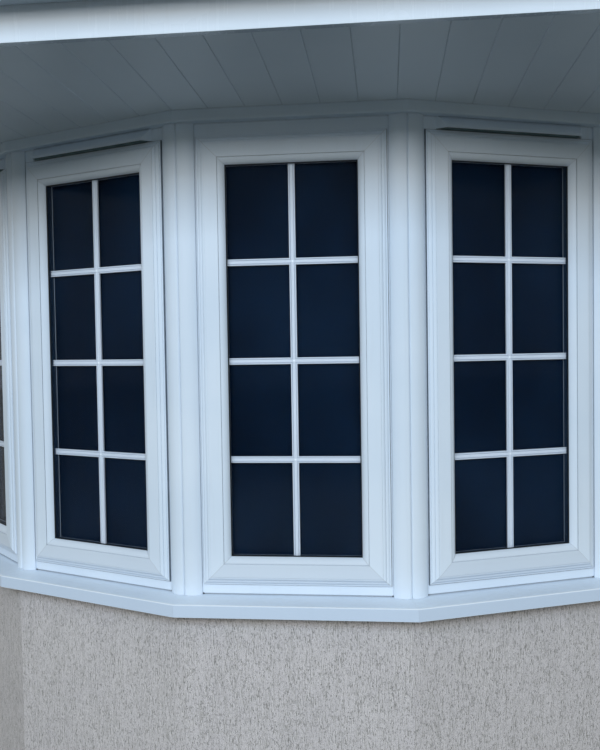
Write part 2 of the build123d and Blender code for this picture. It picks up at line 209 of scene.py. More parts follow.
def bark_render(index):
    """Bark render outside and smooth plaster inside, on one facet's own run, depth and height.

    Scratches are the contour lines, at one half, of a noise drawn out downwards nine times: there |noise - 0.5| is
    smallest. Two slower noises break them into dashes, and a pale lip, a painted highlight, stands 1.4 mm beside each.
    Pits are Voronoi cells about 2.4 mm wide and near three times as tall, kept where a slower noise says; scratches
    and pits are painted darker as painted shade. Grain is fine noise with pale flecks, and the coat is a little greener
    and darker in patches over its top 100 mm, under the cill.
    """
    finish = Finish(f"bark_render_{facet_names[index]}", Roughness=0.9, Specular_IOR_Level=0.2)
    run, depth, height = finish.parts(finish.on_facet(index))
    shifted = finish.node("ShaderNodeCombineXYZ", inputs=(run + 0.7 * index, depth, height))
    bent = finish.node("ShaderNodeTexNoise", output="Color", Vector=shifted, Scale=38.0, Detail=2.0)
    wander = finish.node("ShaderNodeVectorMath", {"operation": "SCALE"}, Vector=bent, Scale=0.004)
    flow = finish.node("ShaderNodeVectorMath", {"operation": "ADD"}, inputs=(shifted, wander))
    patches = finish.noise(finish.scaled(shifted, (1.0, 1.0, 0.4)), 75.0, 4.0, 0.6)
    broken = finish.noise(finish.scaled(shifted, (1.0, 1.0, 0.45)), 150.0, 2.0, 0.5)
    worked = finish.step(patches, 0.34, 0.52) * finish.step(broken, 0.40, 0.54)

    def scratched(source):
        drawn = finish.noise(finish.scaled(source, (1.0, 1.0, 0.11)), 235.0, 1.0, 0.5)
        return finish.step(abs(drawn - 0.5), 0.052, 0.018) * worked

    scratches = scratched(flow)
    beside = finish.node("ShaderNodeVectorMath", {"operation": "ADD"}, inputs=(flow, (0.0014, 0.0, 0.0012)))
    lip_highlights = scratched(beside) * (1.0 - scratches)
    cells = finish.node("ShaderNodeTexVoronoi", Vector=finish.scaled(flow, (1.0, 1.0, 0.36)), Scale=420.0)
    chosen = finish.noise(finish.scaled(shifted, (1.0, 1.0, 0.5)), 230.0, 2.0, 0.6)
    pits = finish.step(cells, 0.52, 0.20) * finish.step(chosen, 0.50, 0.60)
    grain = finish.noise(finish.scaled(shifted, (1.0, 1.0, 0.8)), 640.0, 2.0, 0.7)
    drag = finish.noise(finish.scaled(shifted, (1.0, 1.0, 0.05)), 330.0, 2.0, 0.5)
    cloud = finish.noise(shifted, 4.5, 5.0, 0.55)
    outside = finish.step(depth, 0.03, 0.02)
    under_cill = finish.step(height, wall_top - 0.10, wall_top) * finish.step(finish.noise(shifted, 9.0, 4.0), 0.40, 0.65)
    coat = finish.blend(finish.step(cloud, 0.3, 0.7), shade(201, 197, 202), shade(207, 203, 207))
    coat = finish.blend(finish.step(grain, 0.50, 0.36) * 0.45, coat, shade(160, 158, 157))
    coat = finish.blend(finish.step(grain, 0.53, 0.66) * 0.70, coat, shade(240, 238, 237))
    coat = finish.blend(finish.step(drag, 0.50, 0.68) * 0.35, coat, shade(160, 158, 157))
    # painted highlight: a pale lip beside each scratch
    coat = finish.blend(lip_highlights * 0.55, coat, shade(238, 236, 234))
    # painted shade: the scratches, and below them the pits, are painted darker
    coat = finish.blend(scratches * 0.62, coat, shade(124, 123, 121))
    coat = finish.blend(pits * 0.44, coat, shade(104, 103, 102))
    # greener and darker in patches over the top 100 mm, under the cill
    coat = finish.blend(under_cill * 0.22, coat, shade(164, 167, 156))
    plaster = finish.blend(cloud, shade(214, 211, 203), shade(222, 219, 212))
    relief = (grain * 0.45 - pits * 0.7 - scratches * 0.6) * outside + cloud * 0.1
    return finish.lay(
        Base_Color=finish.blend(outside, plaster, coat),
        Roughness=0.78 + outside * 0.15 - grain * 0.05,
        Normal=finish.bump(relief, 0.0022, 0.7),
    )


for index, side in enumerate(facet_names):
    dress(f"wall_{side}", bark_render(index))

# The window cill: five mitred lengths of white hollow plastic on the wall, sloped to shed water,
# with a square nose and a drip lip; it stays as the source shapes it.
plastic_light = shade(218, 231, 246)
plastic_shaded = shade(209, 224, 241)
# bluish grey for tight corners and weld grooves: dirt and painted shade
dirt_and_shade_tone = shade(112, 122, 132)
# near white for rounded edges and the lip beside each weld: rub wear and painted highlight
rub_and_highlight_tone = shade(234, 243, 253)


def white_plastic(
    name, light=plastic_light, shaded=plastic_shaded, roughness=0.30, edge_radius=0.0012, film=0.06, gloss=0.5,
    corner_dirt_and_shade=0.35,
):
    """Extruded white plastic: two close tones in clouds, a thin film of dust in streaks down the face, tight corners
    painted darker as dirt and painted shade, a fine ripple from the die, and edges rounded and painted a little
    brighter as rub wear and a painted highlight."""
    finish = Finish(name, Specular_IOR_Level=gloss)
    place = finish.place
    cloud = finish.step(finish.noise(place, 2.6, 4.0), 0.3, 0.7)
    streaks = finish.step(finish.noise(finish.scaled(place, (1.0, 1.0, 0.06)), 70.0, 4.0, 0.6), 0.52, 0.80)
    closeness = finish.node("ShaderNodeAmbientOcclusion", {"samples": 4}, output="AO", Distance=0.010)
    corner = finish.step(closeness, 0.62, 0.15)
    rounded, rim = finish.edge(edge_radius)
    ripple = finish.noise(finish.scaled(place, (1.0, 1.0, 0.15)), 260.0, 2.0)
    finish.rounded, finish.ripple = rounded, ripple
    finish.tone = finish.blend(cloud, shaded, light)
    finish.tone = finish.blend(streaks * film, finish.tone, shade(168, 172, 176))
    # dirt and painted shade: tight corners, found by ambient occlusion, are painted darker
    finish.tone = finish.blend(corner * corner_dirt_and_shade, finish.tone, dirt_and_shade_tone)
    # rub wear and painted highlight: rounded edges are painted a little brighter
    finish.tone = finish.blend(rim * 0.30, finish.tone, rub_and_highlight_tone)
    finish.lay(Base_Color=finish.tone, Roughness=roughness + cloud * 0.04 + streaks * film - rim * 0.05)
    return finish.lay(Normal=finish.bump(ripple, 0.00005, 0.5, Normal=rounded))


cill_finish = white_plastic("white_cill", film=0.10, edge_radius=0.0016)
cill_height = cill_finish.parts(cill_finish.place)[2]
nose_foot, nose_fold = wall_top - cill_lip, wall_top + 0.0255
# painted shade: the nose face, below the fold, is painted darker and bluer than the slope; painted highlights: thin
# bright lines along the rounded fold and along the lower edge of the nose
nose = cill_finish.step(cill_height, nose_fold, nose_fold - 0.002)
fold_highlight = cill_finish.step(abs(cill_height - nose_fold), 0.0013, 0.0005)
lip_highlight = cill_finish.step(cill_height, nose_foot + 0.0014, nose_foot + 0.0006)
cill_tone = cill_finish.blend(nose * 0.75, cill_finish.tone, shade(194, 212, 236))
cill_finish.lay(Base_Color=cill_finish.blend(fold_highlight.most(lip_highlight) * 0.55, cill_tone, shade(240, 247, 255)))
for side in facet_names:
    dress(f"cill_{side}", cill_finish)

# Corner posts between the frames and end posts at the house wall: square white plastic over
# steel, screwed through the frames and mostly hidden by the covers.
post_finish = white_plastic("white_post")
for node in ("corner_post_1", "corner_post_2", "corner_post_3", "corner_post_4", "end_posts"):
    dress(node, post_finish)

# The outer frames: four lengths of white plastic to each light, welded at mitred corners, where
# the weld is pared back to a hair-fine groove.
frame_low, frame_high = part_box("frame_centre")
frame_half, frame_foot, frame_top = frame_high.x, frame_low.z, frame_high.z
frame_face = 0.060


def welded_plastic(name, index, half, foot, top, face, depth_of_weld):
    """White plastic with mitred welds: a weld shows where the distances from the two edges of a corner are equal,
    within the width of the face, as a pared groove painted darker as dirt and painted shade, beside a lip painted
    brighter as a painted highlight. The foot length, nearer to the foot than to a side, holds a film of dust."""
    finish = white_plastic(name, corner_dirt_and_shade=0.85)
    run, _, height = finish.parts(finish.on_facet(index))
    from_side = half - abs(run)
    from_foot = height - foot
    from_end = from_foot.least(top - height)
    dusty = finish.step(from_foot, face + 0.004, face) * finish.step(from_foot - from_side, 0.0003, -0.0003)
    apart = abs(from_side - from_end)
    on_face = finish.step(from_side.most(from_end), face + 0.0002, face) * depth_of_weld
    # painted shade and dirt in the weld groove, and a painted highlight on the lip beside it
    groove = finish.step(apart, 0.0011, 0.0003) * on_face
    lip = finish.step(apart, 0.0030, 0.0012) * on_face
    tone = finish.blend(dusty * 0.80 * depth_of_weld, finish.tone, shade(199, 211, 226))
    tone = finish.blend(lip * 0.25, tone, rub_and_highlight_tone)
    finish.lay(
        Base_Color=finish.blend(groove * 0.50, tone, dirt_and_shade_tone),
        Normal=finish.bump(finish.ripple * 0.1 + lip * 0.5 - groove, 0.0006, 0.8, Normal=finish.rounded),
    )
    return finish


for index, side in enumerate(facet_names):
    weld = welded_plastic(
        f"white_frame_{side}", index, frame_half, frame_foot, frame_top, frame_face, depth_of_weld=0.15
    )
    dress(f"frame_{side}", weld)

# The sashes: one moulded section welded round each light, four of them hung to open outwards and
# the middle one fixed.
sash_low, sash_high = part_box("sash_centre")
sash_half, sash_foot, sash_top = sash_high.x, sash_low.z, sash_high.z
sash_face = 0.0765
opening_lights = (0, 1, 3, 4)
for index, side in enumerate(facet_names):
    weld = welded_plastic(
        f"white_sash_{side}", index, sash_half, sash_foot, sash_top, sash_face, depth_of_weld=0.75
    )
    dress(f"sash_{side}", weld)

# Rubber seals: a dusty dark strip in the gap round each opening sash, a thin grey one round the
# fixed sash, and black wedges that hold the glass, outside and in the room; each sits in a groove.
merge_distance = 0.000005
soft_angle = math.radians(35)


def on_facet(index, run, depth, height):
    """Points of a facet from their run along it, their depth behind the frame face and their height."""
    run, depth, height = np.broadcast_arrays(run, depth, height)
    points = facet_middles[index] + run[..., None] * facet_tangents[index] + depth[..., None] * facet_inwards[index]
    points[..., 2] = height
    return points


def strip_faces(rows, columns, around, along):
    """Four-cornered faces of a grid of rows by columns; around closes the columns and along closes the rows."""
    first_rows = np.arange(rows if along else rows - 1)
    first_columns = np.arange(columns if around else columns - 1)
    row, column = np.meshgrid(first_rows, first_columns, indexing="ij")
    below, beside = (row + 1) % rows, (column + 1) % columns
    corners = [row * columns + column, row * columns + beside, below * columns + beside, below * columns + column]
    return np.stack(corners, axis=-1).reshape(-1, 4)


def piece(name, shapes, finish, stands_for=()):
    """Joins shapes, each its points and faces, into one piece: turns the faces outwards, shades its rounds smoothly
    up to an angle, and lets it ride on the part."""
    points, faces, count = [], [], 0
    for shape_points, shape_faces in shapes:
        flat = np.asarray(shape_points, float).reshape(-1, 3)
        points.append(flat)
        faces.extend((np.asarray(face) + count).tolist() for face in shape_faces)
        count += len(flat)
    mesh = bpy.data.meshes.new(name)
    mesh.from_pydata(np.vstack(points).tolist(), [], faces)
    work = bmesh.new()
    work.from_mesh(mesh)
    bmesh.ops.remove_doubles(work, verts=work.verts, dist=merge_distance)
    bmesh.ops.recalc_face_normals(work, faces=work.faces)
    work.to_mesh(mesh)
    work.free()
    mesh.polygons.foreach_set("use_smooth", np.ones(len(mesh.polygons), bool))
    mesh.set_sharp_from_angle(angle=soft_angle)
    mesh.materials.append(finish.material)
    made = bpy.data.objects.new(name, mesh)
    bpy.context.scene.collection.objects.link(made)
    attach(made, "root")
    if stands_for:
        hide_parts(*stands_for)
    return made


def mitred_ring(index, half, foot, top, section):
    """A closed section of (inset, depth) points carried round a rectangle, mitred where the sides meet: each corner
    moves inwards by the inset along both sides."""
    inset, depth = np.asarray(section, float).T
    side = np.array([-1.0, 1.0, 1.0, -1.0])[:, None]
    run = side * (half - inset)
    height = np.stack([foot + inset, foot + inset, top - inset, top - inset])
    return on_facet(index, run, depth, height), strip_faces(4, len(inset), True, True)


def rubber(name, light, dark, roughness=0.55):
    """Matt rubber, dustier in patches, with the fine drag lines of its die."""
    finish = Finish(name, Specular_IOR_Level=0.4)
    dust = finish.step(finish.noise(finish.place, 38.0, 4.0), 0.45, 0.75)
    drag = finish.noise(finish.scaled(finish.place, (1.0, 1.0, 0.2)), 600.0, 2.0)
    return finish.lay(
        Base_Color=finish.blend(dust, dark, light), Roughness=roughness + dust * 0.25,
        Normal=finish.bump(drag, 0.00008, 0.5),
    )


black_rubber = rubber("black_rubber", shade(38, 46, 55), shade(12, 17, 23))
gap_rubber = rubber("gap_rubber", shade(106, 117, 132), shade(80, 91, 105))
grey_rubber = rubber("grey_rubber", shade(148, 156, 166), shade(120, 128, 138))
gap_seal = ((-0.0018, -0.0002), (-0.0018, -0.0020), (-0.0008, -0.0031), (0.0060, -0.0031), (0.0060, -0.0002))
fixed_seal = ((-0.0012, -0.0001), (-0.0012, -0.0012), (-0.0004, -0.0020), (0.0000, -0.0022), (0.0000, -0.0001))
outer_wedge = ((0.0765, 0.0019), (0.0765, -0.0012), (0.0774, -0.0012), (0.0788, 0.0006), (0.0793, 0.0019))
room_wedge = ((0.0745, 0.0301), (0.0745, 0.0330), (0.0752, 0.0330), (0.0768, 0.0312), (0.0772, 0.0301))
for index, side in enumerate(facet_names):
    rings = [mitred_ring(index, sash_half, sash_foot, sash_top, wedge) for wedge in (outer_wedge, room_wedge)]
    piece(f"glass_wedges_{side}", rings, black_rubber)
    seal, finish = (gap_seal, gap_rubber) if index in opening_lights else (fixed_seal, grey_rubber)
    piece(f"sash_seal_{side}", [mitred_ring(index, sash_half, sash_foot, sash_top, seal)], finish)

# The sealed units: two panes of 4 mm glass held apart by a dark spacer with a bright back edge.
# The outer pane is clear; the inner pane is painted dark, as painted shade of the unlit room behind it.
face_y = float(facet_middles[2][1])
unit_low, unit_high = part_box("glazing_centre")
unit_edge = sash_half - unit_high.x
pane_thick = 0.004
pane_arris = 0.0006
outer_front = unit_low.y - face_y
inner_front = unit_high.y - face_y - pane_thick
foil_front, foil_back = 0.0228, 0.0270
foil_half = 0.20
# painted shade: the inner pane's two dark tones stand for the unlit room
room_dark = shade(11, 27, 46)
room_darker = shade(5, 16, 31)


def pane(index, front):
    """A sheet of glass: a rectangle whose edges are ground at both faces, closed by its two faces."""
    back = front + pane_thick
    section = (
        (unit_edge + pane_arris, front), (unit_edge, front + pane_arris),
        (unit_edge, back - pane_arris), (unit_edge + pane_arris, back),
    )
    points, _ = mitred_ring(index, sash_half, sash_foot, sash_top, section)
    sides = strip_faces(4, 4, False, True).tolist()
    return points, sides + [[0, 4, 8, 12], [3, 7, 11, 15]]


clear_glass = Finish("clear_glass", Base_Color=(1.0, 1.0, 1.0, 1.0), Transmission_Weight=1.0, IOR=1.08)
smears = clear_glass.noise(clear_glass.scaled(clear_glass.place, (1.0, 1.0, 0.5)), 14.0, 5.0, 0.6)
clear_glass.lay(Roughness=clear_glass.step(smears, 0.55, 0.85) * 0.02)
dark_glass = Finish("dark_glass", IOR=1.45, Specular_IOR_Level=0.03)
gloom = dark_glass.noise(dark_glass.scaled(dark_glass.place, (1.0, 1.0, 0.7)), 3.2, 3.0, 0.5)
gloom = dark_glass.step(gloom, 0.3, 0.7)
dark_glass.lay(Base_Color=dark_glass.blend(gloom, room_darker, room_dark), Roughness=0.03 + gloom * 0.02)
for index, side in enumerate(facet_names):
    unit = [f"glazing_{side}"]
    outer = piece(f"outer_pane_{side}", [pane(index, outer_front)], clear_glass, unit)
    outer.visible_shadow = False
    piece(f"inner_pane_{side}", [pane(index, inner_front)], dark_glass, unit)


def spacer_finish():
    """Dark blue-grey warm-edge spacer, dusty in patches, with a bright metal foil along its last 3 mm before the inner
    pane. The foil's depth is worked out on every facet, within the light's width, and the most of the five is used."""
    finish = Finish("spacer_bar", Metallic=0.0, Specular_IOR_Level=0.5)
    foil = None
    for index in range(len(facet_names)):
        run, depth, _ = finish.parts(finish.on_facet(index))
        in_light = finish.step(abs(run), foil_half, foil_half - 0.004)
        behind = finish.step(depth, foil_front, foil_front + 0.0008)
        here = in_light * behind * finish.step(depth, foil_back, foil_back - 0.0005)
        foil = here if foil is None else foil.most(here)
    dust = finish.noise(finish.place, 60.0, 3.0)
    dark = finish.blend(dust, shade(20, 37, 56), shade(31, 50, 72))
    return finish.lay(
        Base_Color=finish.blend(foil, dark, shade(142, 154, 168)), Roughness=0.45 - foil * 0.15 + dust * 0.1,
        Normal=finish.bump(dust, 0.0001, 0.4),
    )


dress("glazing_spacers", spacer_finish())

# White moulded bars inside the sealed units, two panes wide and four high: slim aluminium sections
# painted white, mitred where they cross and pinned there, their ends clipped to the spacer.
bar_heights = (1.1957, 1.4652, 1.7343)
bar_middle = 0.016
bar_inset = 0.0755
glass_half, glass_foot, glass_top = sash_half - bar_inset, sash_foot + bar_inset, sash_top - bar_inset
pin_radius, pin_rise = 0.0026, 0.0012
pin_stand = 0.0032
# the section, across and deep: flat flanges, a groove on either side and a low middle, front and back
bar_section = np.array([
    (-0.0090, -0.0026), (-0.0084, -0.0037), (-0.0060, -0.0042), (-0.0050, -0.0006), (-0.0038, -0.0034),
    (0.0, -0.0033),
    (0.0038, -0.0034), (0.0050, -0.0006), (0.0060, -0.0042), (0.0084, -0.0037), (0.0090, -0.0026),
    (0.0090, 0.0026), (0.0084, 0.0037), (0.0060, 0.0042), (0.0050, 0.0006), (0.0038, 0.0034),
    (0.0, 0.0033),
    (-0.0038, 0.0034), (-0.0050, 0.0006), (-0.0060, 0.0042), (-0.0084, 0.0037), (-0.0090, 0.0026),
])


def closed_strip(rows, columns):
    """Faces of rows of points that each run round a closed line, with the first and the last row filled in."""
    last = (rows - 1) * columns
    ends = [list(range(columns)), list(range(last, last + columns))]
    return strip_faces(rows, columns, True, False).tolist() + ends


def bar_length(index, upright, still, start, end, start_mitre, end_mitre):
    """One length of bar: the section carried along a straight line, with each end square or cut back to a point by
    the distance from its middle line, which mitres it to the bars that cross there."""
    across, raised = bar_section.T
    ends = np.stack([start + start_mitre * np.abs(across), end - end_mitre * np.abs(across)])
    depth = np.broadcast_to(bar_middle + raised, ends.shape)
    line = np.broadcast_to(still + across, ends.shape)
    points = on_facet(index, line, depth, ends) if upright else on_facet(index, ends, depth, line)
    return points, closed_strip(2, len(across))


def stud(index, run, height, depth, radius, rise, rings=4, sides=14, crown=0.92):
    """A low round stud: rings whose radius falls as the cosine of an angle while the rise grows as its sine, up to
    the share of a right angle at which the flat crown begins."""
    angle = np.linspace(0, math.pi / 2 * crown, rings)[:, None]
    turn = np.linspace(0, 2 * math.pi, sides, endpoint=False)
    around = radius * np.cos(angle) * np.cos(turn)
    upward = radius * np.cos(angle) * np.sin(turn)
    out = -rise * np.sin(angle)
    points = on_facet(index, run + around, depth + out, height + upward)
    return points, closed_strip(rings, sides)


# the bars' two tones sit below the frames' white: painted shade of the reveal and the sealed unit they stand in
bar_light, bar_shaded = shade(194, 204, 217), shade(185, 196, 209)
pin_light, pin_shaded = shade(226, 233, 241), shade(218, 226, 235)
bar_white = white_plastic(
    "white_bars", bar_light, bar_shaded, roughness=0.35, edge_radius=0.0005, film=0.0, corner_dirt_and_shade=0.0
)
pin_white = white_plastic(
    "white_pins", pin_light, pin_shaded, roughness=0.35, edge_radius=0.0003, film=0.0, corner_dirt_and_shade=0.0
)
for index, side in enumerate(facet_names):
    lengths, pins = [], []
    stops = (glass_foot, *bar_heights, glass_top)
    for number, (low, high) in enumerate(zip(stops[:-1], stops[1:])):
        lengths.append(bar_length(index, True, 0.0, low, high, number > 0, number < len(bar_heights)))
    for level in bar_heights:
        lengths.append(bar_length(index, False, level, -glass_half, 0.0, 0, 1))
        lengths.append(bar_length(index, False, level, 0.0, glass_half, 1, 0))
        pins.append(stud(index, 0.0, level, bar_middle - pin_stand, pin_radius, pin_rise))
    piece(f"bars_{side}", lengths, bar_white)
    piece(f"bar_pins_{side}", pins, pin_white)

# Post covers: two gently rounded wings of white plastic over each corner post, glued on and
# scribed to the cill; small dark dabs at their feet are painted shade in the small open corners there.
cover_finish = white_plastic("white_cover", edge_radius=0.0014)
dress("post_covers", cover_finish)
hollow_run, hollow_height, hollow_depth = 0.2595, frame_foot - 0.0014, -0.0001
hollow_radius, hollow_rise = 0.0024, 0.0008
# painted shade: dark dabs on the frame face at each cover's foot stand for the small open corners
hollow_shade_finish = rubber("hollow_shade", shade(100, 108, 118), shade(66, 73, 82))
shade_dabs = [
    stud(index, turn * hollow_run, hollow_height, hollow_depth, hollow_radius, hollow_rise)
    for index in range(len(facet_names)) for turn in (-1, 1)
]
piece("cover_foot_shade_dabs", shade_dabs, hollow_shade_finish)

# Trickle vents over the opening lights: a white hood on the frame head, with a grey-green ribbed
# grille under it that shows as a dark slot between the hood and the sash.
vent_finish = white_plastic("white_vent", edge_radius=0.0010)
dress("vent_hoods", vent_finish)
vent_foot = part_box("vent_hoods")[0].z
# the pocket under a hood: half its width at the frame face, and how that falls with the way forward
pocket_half = 0.2205
pocket_slant = 0.769
grille_ribs = 56
plate_front, plate_back = -0.0150, -0.0010
rib_front, rib_half = -0.0195, 0.0010


def block(index, run_low, run_high, depth_low, depth_high, low, high, arris=0.0003):
    """A small block of a facet with its long edges bevelled: an eight-cornered section in depth and height, carried
    along the run."""
    section = np.array([
        (depth_low + arris, low), (depth_high - arris, low), (depth_high, low + arris), (depth_high, high - arris),
        (depth_high - arris, high), (depth_low + arris, high), (depth_low, high - arris), (depth_low, low + arris),
    ])
    run = np.array([run_low, run_high])[:, None]
    return on_facet(index, run, section[:, 0], section[:, 1]), closed_strip(2, len(section))


grille_rubber = rubber("grille_rubber", shade(138, 163, 168), shade(104, 126, 131))
plate_half = pocket_half + pocket_slant * plate_front
last_rib = pocket_half + pocket_slant * rib_front - 0.004
grilles = []
for index in opening_lights:
    plate_low, plate_high = vent_foot - 0.0010, vent_foot + 0.0040
    rib_low, rib_high = vent_foot - 0.0008, vent_foot + 0.0036
    grilles.append(block(index, -plate_half, plate_half, plate_front, plate_back, plate_low, plate_high))
    grilles.extend(
        block(index, place - rib_half, place + rib_half, rib_front, plate_front, rib_low, rib_high)
        for place in np.linspace(-last_rib, last_rib, grille_ribs)
    )
piece("vent_grilles", grilles, grille_rubber)

# The head trim, a white plastic strip pinned along the tops of the frames under the soffit, and the
# timber head plate behind it, which carries the joists.
dress("head_trim", white_plastic("white_head_trim", edge_radius=0.0020, gloss=0.25))


def sawn_timber(name, grain_axis):
    """Sawn softwood: rings are noise drawn out along the grain, with fine fibres, darker knots and saw fuzz."""
    finish = Finish(name, Specular_IOR_Level=0.3)
    drawn = [1.0, 1.0, 1.0]
    drawn[grain_axis] = 0.05
    along = finish.scaled(finish.place, drawn)
    rings = finish.noise(along, 60.0, 3.0, 0.55)
    fibres = finish.noise(along, 420.0, 3.0, 0.6)
    knots = finish.step(finish.node("ShaderNodeTexVoronoi", Vector=finish.place, Scale=3.0), 0.07, 0.02)
    wood = finish.blend(finish.step(rings, 0.35, 0.65), shade(168, 126, 80), shade(206, 172, 124))
    wood = finish.blend(finish.step(fibres, 0.5, 0.8) * 0.3, wood, shade(140, 100, 62))
    wood = finish.blend(knots * 0.8, wood, shade(96, 60, 34))
    relief = finish.bump(rings * 0.3 + fibres * 0.7, 0.0006, 0.7)
    return finish.lay(Base_Color=wood, Roughness=0.72 + fibres * 0.15, Normal=relief)


dress("head_plate", sawn_timber("plate_timber", 0))

# The window board in the room: a white laminated plastic board with a rounded nosing, laid on the
# wall and scribed to the frames.
board_light, board_shaded = shade(232, 236, 242), shade(224, 229, 237)
dress("window_board", white_plastic("white_board", board_light, board_shaded, roughness=0.24, film=0.05))

# Handles on the room side of the opening sashes: white enamelled levers on a narrow base, screwed
# to the stile that is nearer to the middle of the bay.
enamel_light, enamel_shaded = shade(236, 238, 242), shade(228, 231, 236)
handle_finish = white_plastic(
    "white_handle", enamel_light, enamel_shaded, roughness=0.2, edge_radius=0.0008, film=0.0
)
handle_inset = 0.042
handle_height = 1.44
stile_back = sash_high.y - face_y
# each row: how far behind the stile, how far above the handle's height, half width, half depth
base_rows = (
    (0.0055, -0.062, 0.010, 0.004), (0.0055, -0.060, 0.0125, 0.0055), (0.0055, 0.0, 0.0125, 0.0055),
    (0.0055, 0.060, 0.0125, 0.0055), (0.0055, 0.062, 0.010, 0.004),
)
lever_rows = (
    (0.012, 0.012, 0.008, 0.004), (0.022, 0.010, 0.010, 0.006), (0.028, 0.000, 0.0105, 0.007),
    (0.030, -0.030, 0.0095, 0.0055), (0.033, -0.080, 0.0085, 0.0050), (0.036, -0.112, 0.0075, 0.0045),
    (0.036, -0.116, 0.0050, 0.0030),
)


def rounded_bar(index, run, rows, sides=20, squareness=0.6):
    """A bar of rounded section through rows of (depth, rise, half width, half depth): each ring is a superellipse,
    cos and sin raised to a power below 1 with their signs kept."""
    turn = np.linspace(0, 2 * math.pi, sides, endpoint=False)
    across = np.sign(np.cos(turn)) * np.abs(np.cos(turn)) ** squareness
    deep = np.sign(np.sin(turn)) * np.abs(np.sin(turn)) ** squareness
    back, rise, half_width, half_depth = np.asarray(rows).T[:, :, None]
    points = on_facet(index, run + half_width * across, stile_back + back + half_depth * deep, handle_height + rise)
    return points, closed_strip(len(rows), sides)


handles = []
for index in opening_lights:
    run = (sash_half - handle_inset) * (1 if index < 2 else -1)
    handles += [rounded_bar(index, run, base_rows), rounded_bar(index, run, lever_rows)]
piece("sash_handles", handles, handle_finish)

# The ceiling of the bay: plasterboard nailed up under the joists, skimmed with plaster by trowel
# and painted white.
ceiling_finish = Finish("painted_plaster", Specular_IOR_Level=0.3)
trowel = ceiling_finish.noise(ceiling_finish.scaled(ceiling_finish.place, (1.0, 0.4, 1.0)), 7.0, 5.0, 0.6)
trowelled = ceiling_finish.step(trowel, 0.3, 0.7)
ceiling_finish.lay(
    Base_Color=ceiling_finish.blend(trowelled, shade(219, 217, 211), shade(228, 226, 221)),
    Roughness=0.85 + trowel * 0.1, Normal=ceiling_finish.bump(trowel, 0.0006, 0.5),
)
dress("ceiling", ceiling_finish)

# Roof timbers: sawn softwood joists from a plate on the house wall to the fascia, with a board
# deck of pressed wood flakes.
dress("roof_joists", sawn_timber("joist_timber", 1))
dress("rear_plate", sawn_timber("rear_timber", 0))
flake_board = Finish("flake_board", Specular_IOR_Level=0.3)
flake_place = flake_board.scaled(flake_board.place, (1.0, 0.45, 1.0))
flakes = flake_board.node("ShaderNodeTexVoronoi", output="Color", Vector=flake_place, Scale=52.0)
flake_tone = flake_board.parts(flakes)[0]
flake_rise = flake_board.noise(flake_board.place, 240.0, 3.0)
flake_stops = [(0.0, shade(158, 118, 72)), (0.5, shade(196, 158, 106)), (1.0, shade(222, 190, 140))]
flake_board.lay(
    Base_Color=flake_board.node("ShaderNodeValToRGB", {"stops": flake_stops}, Fac=flake_tone),
    Roughness=0.7 + flake_rise * 0.2, Normal=flake_board.bump(flake_tone * 0.6 + flake_rise * 0.4, 0.0008, 0.7),
)
dress("roof_deck", flake_board)

# The soffit under the overhang: tongued and grooved white plastic boards 100 mm wide, laid from
# the fascia to the head plate, with a small V where two boards meet.
board_pitch = 0.100
board_start = 0.0845
vee = 0.0018
half_gap = 0.0002
least_board = 0.010
soffit_low, soffit_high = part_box("soffit")
corner_runs = facet_width * np.cumsum([0.5, math.cos(corner_turn), math.cos(2 * corner_turn)])
corner_backs = face_y + facet_width * np.cumsum([0.0, math.sin(corner_turn), math.sin(2 * corner_turn)])


def soffit_back(x):
    """Where the boards stop at the bay: the frame face, which is straight between the corners and runs on at the last
    facet's slope to the house wall, and beyond that the house wall."""
    reach = corner_runs[-1] + (soffit_high.y - corner_backs[-1]) / math.tan(2 * corner_turn)
    return np.interp(np.abs(x), [*corner_runs, reach], [*corner_backs, soffit_high.y])


def soffit_board(low, high):
    """One board: a loop of points under and over it, the underside lifted to a V at both edges, carried from the
    front to the back, with the back end cut to the bay and both ends filled with four-cornered faces."""
    edges = np.array([low + half_gap, low + vee, (low + high) / 2, high - vee, high - half_gap])
    corners = np.concatenate([corner_runs, -corner_runs])
    across = np.sort(np.concatenate([edges, corners[(corners > edges[0]) & (corners < edges[-1])]]))
    under = soffit_low.z + vee * np.clip(1 - np.minimum(across - edges[0], edges[-1] - across) / (vee - half_gap), 0, 1)
    top = np.full(len(across), soffit_high.z)
    loop_x, loop_z = np.concatenate([across, across[::-1]]), np.concatenate([under, top])
    front = np.full(len(loop_x), soffit_low.y)
    rows = np.stack([np.stack([loop_x, y, loop_z], axis=1) for y in (front, soffit_back(loop_x))])
    count = len(loop_x)
    step = np.arange(len(across) - 1)
    cap = np.stack([step, step + 1, count - 2 - step, count - 1 - step], axis=1)
    return rows, np.vstack([strip_faces(2, count, True, False), cap, cap + count])


first_board = math.ceil((soffit_low.x - board_start) / board_pitch)
last_board = math.floor((soffit_high.x - board_start) / board_pitch)
joints = board_start + board_pitch * np.arange(first_board, last_board + 1)
kept = (joints > soffit_low.x + least_board) & (joints < soffit_high.x - least_board)
joints = np.concatenate([[soffit_low.x], joints[kept], [soffit_high.x]])
boards = [soffit_board(low, high) for low, high in zip(joints[:-1], joints[1:])]
soffit_light, soffit_shaded = shade(220, 229, 238), shade(213, 223, 233)
soffit_finish = white_plastic(
    "white_soffit", soffit_light, soffit_shaded, roughness=0.42, edge_radius=0.0006, film=0.0, gloss=0.25
)
piece("soffit_boards", boards, soffit_finish, ["soffit"])

# The fascias: boards of white foamed plastic with a smooth face, pinned to the ends of the joists
# along the front and down both sides of the canopy.
fascia_light, fascia_shaded = shade(214, 225, 237), shade(205, 217, 230)
fascia_finish = white_plastic(
    "white_fascia", fascia_light, fascia_shaded, roughness=0.24, edge_radius=0.0020, film=0.10
)
for node in ("fascia_front", "fascia_left", "fascia_right"):
    dress(node, fascia_finish)

